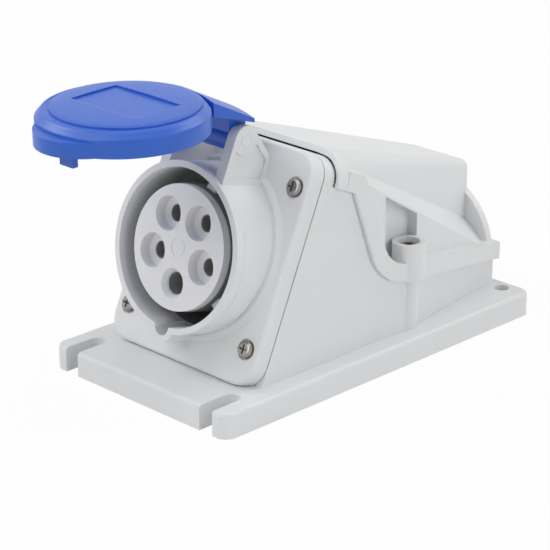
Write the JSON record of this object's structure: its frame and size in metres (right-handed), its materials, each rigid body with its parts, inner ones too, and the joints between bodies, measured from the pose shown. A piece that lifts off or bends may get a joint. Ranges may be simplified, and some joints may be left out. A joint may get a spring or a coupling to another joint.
{
  "type": "angled surface mount socket",
  "caption": "Splash proof wall socket: a round opening on a leaning flange with a hinged blue lid, in a grey box with a screwed rear cover.",
  "frame": {"origin": "middle of the mounting plate's back face", "axes": "+Z away from the wall, -Y the way the socket looks, +X to the right as seen from above the plate with the socket at the bottom"},
  "size_m": [0.092, 0.2038, 0.1135],
  "materials": {
    "grey_housing": "satin moulded",
    "grey_insert": "satin moulded",
    "blue_lid": "satin moulded",
    "seal_rubber": "matte",
    "screw_steel": "zinc plated",
    "contact_brass": "bright"
  },
  "bodies": {
    "housing": {"base_box": "grey_housing", "rear_cover": "grey_housing", "cover_gasket": "seal_rubber", "cover_screws": "screw_steel", "socket_housing": "grey_housing", "plug_seal": "seal_rubber", "flange_gasket": "seal_rubber", "flange_screws": "screw_steel", "contact_carrier": "grey_insert", "terminal_block": "grey_insert", "carrier_screws": "screw_steel", "contact_l1": "contact_brass", "contact_l2": "contact_brass", "contact_l3": "contact_brass", "contact_n": "contact_brass", "contact_earth": "contact_brass", "terminal_screws": "screw_steel", "hinge_pin": "grey_insert", "entry_grommet": "seal_rubber"},
    "lid": {"lid": "blue_lid", "lid_seal": "seal_rubber"}
  },
  "joints": [
    {"name": "lid_hinge", "type": "hinge", "parent": "housing", "child": "lid", "pos_m": [0, -0.0435, 0.09309], "axis": [1, 0, 0], "range_deg": [-25, 75]}
  ]
}
